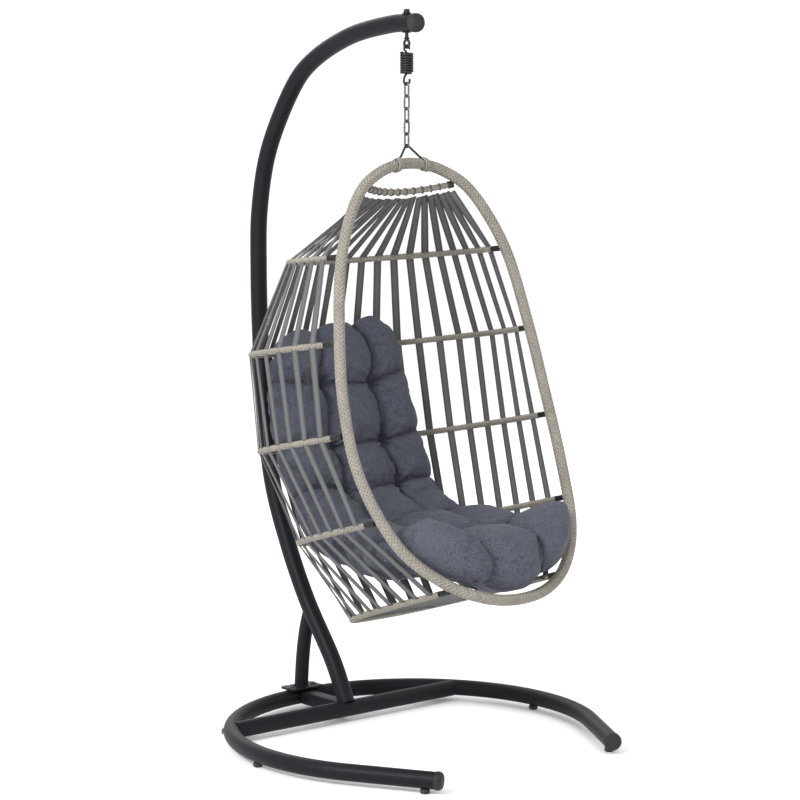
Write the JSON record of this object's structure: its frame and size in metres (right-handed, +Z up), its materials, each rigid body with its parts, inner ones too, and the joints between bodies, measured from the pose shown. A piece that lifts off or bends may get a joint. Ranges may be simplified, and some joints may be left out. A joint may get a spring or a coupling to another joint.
{
  "type": "hanging egg chair",
  "caption": "Egg-shaped strapped basket seat with a tufted one-piece pad, hung by a spring and chain from a bowed tubular floor stand with an open ring base.",
  "frame": {"origin": "floor point under the middle of the whole chair's bounding box", "axes": "+Z up, +X to the right seen from the front, and the open side of the basket and of the base ring faces -Y; X = 0 is the mirror plane"},
  "size_m": [1.0232, 1.1763, 1.9565],
  "materials": {
    "coated_steel": "anthracite powder coat, fine satin",
    "zinc_steel": "bright zinc plating",
    "black_steel": "black oxide, slight sheen",
    "black_plastic": "moulded, matte",
    "rubber": "matte rubber",
    "wicker": "braided synthetic wicker, warm grey",
    "webbing": "flat woven band, dark grey",
    "canvas": "slate blue-grey canvas over filling"
  },
  "bodies": {
    "stand": {"base_tube_left": "coated_steel", "base_tube_right": "coated_steel", "base_end_cap_left": "black_plastic", "base_end_cap_right": "black_plastic", "cross_tube": "coated_steel", "foot_glide_front_left": "rubber", "foot_glide_front_right": "rubber", "foot_glide_middle_left": "rubber", "foot_glide_middle_right": "rubber", "foot_glide_rear_left": "rubber", "foot_glide_rear_right": "rubber", "pole_lower": "coated_steel", "pole_upper": "coated_steel", "pole_end_cap": "black_plastic", "rear_brace": "coated_steel", "saddle_bolt_left": "zinc_steel", "saddle_bolt_right": "zinc_steel", "cross_bolt_left": "zinc_steel", "cross_bolt_right": "zinc_steel", "swivel_bush": "black_plastic"},
    "eye": {"eye_bolt": "zinc_steel", "eye_bolt_washer": "zinc_steel", "eye_bolt_nut": "zinc_steel"},
    "spring_top": {"spring_upper_hook": "zinc_steel", "coil_spring": "black_steel"},
    "spring_low": {"spring_lower_hook": "zinc_steel"},
    "basket": {"chain_link_1": "zinc_steel", "chain_link_2": "zinc_steel", "chain_link_3": "zinc_steel", "chain_link_4": "zinc_steel", "chain_link_5": "zinc_steel", "hoop_bail": "black_steel", "front_hoop": "wicker", "top_rail": "wicker", "rib_1_shoulder": "wicker", "rib_2_upper": "wicker", "rib_3_middle": "wicker", "rib_4_seat": "wicker", "rib_5_bottom_ring": "wicker", "side_strap_1": "webbing", "side_strap_2": "webbing", "side_strap_3": "webbing", "side_strap_4": "webbing", "side_strap_5": "webbing", "side_strap_6": "webbing", "side_strap_7": "webbing", "side_strap_8": "webbing", "side_strap_9": "webbing", "rear_strap_1": "webbing", "rear_strap_2": "webbing", "rear_strap_3": "webbing", "rear_strap_4": "webbing", "rear_strap_5": "webbing", "rear_strap_6": "webbing", "seat_pad": "canvas"}
  },
  "joints": [
    {"name": "swivel", "type": "hinge", "parent": "stand", "child": "eye", "pos_m": [0, -0.0865, 1.918], "axis": [0, 0, 1], "range_deg": [-90, 90]},
    {"name": "swing_side", "type": "hinge", "parent": "eye", "child": "spring_top", "pos_m": [0, -0.0865, 1.8546], "axis": [0, 1, 0], "range_deg": [-8, 8]},
    {"name": "spring_travel", "type": "slide", "parent": "spring_top", "child": "spring_low", "axis": [0, 0, -1], "range_m": [-0.005, 0.045], "stiffness_N_per_m": 20000, "springref_m": -0.00346, "deforming": ["coil_spring"]},
    {"name": "swing_fore_aft", "type": "hinge", "parent": "spring_low", "child": "basket", "pos_m": [0, -0.0865, 1.7575], "axis": [1, 0, 0], "range_deg": [-12, 6]}
  ]
}
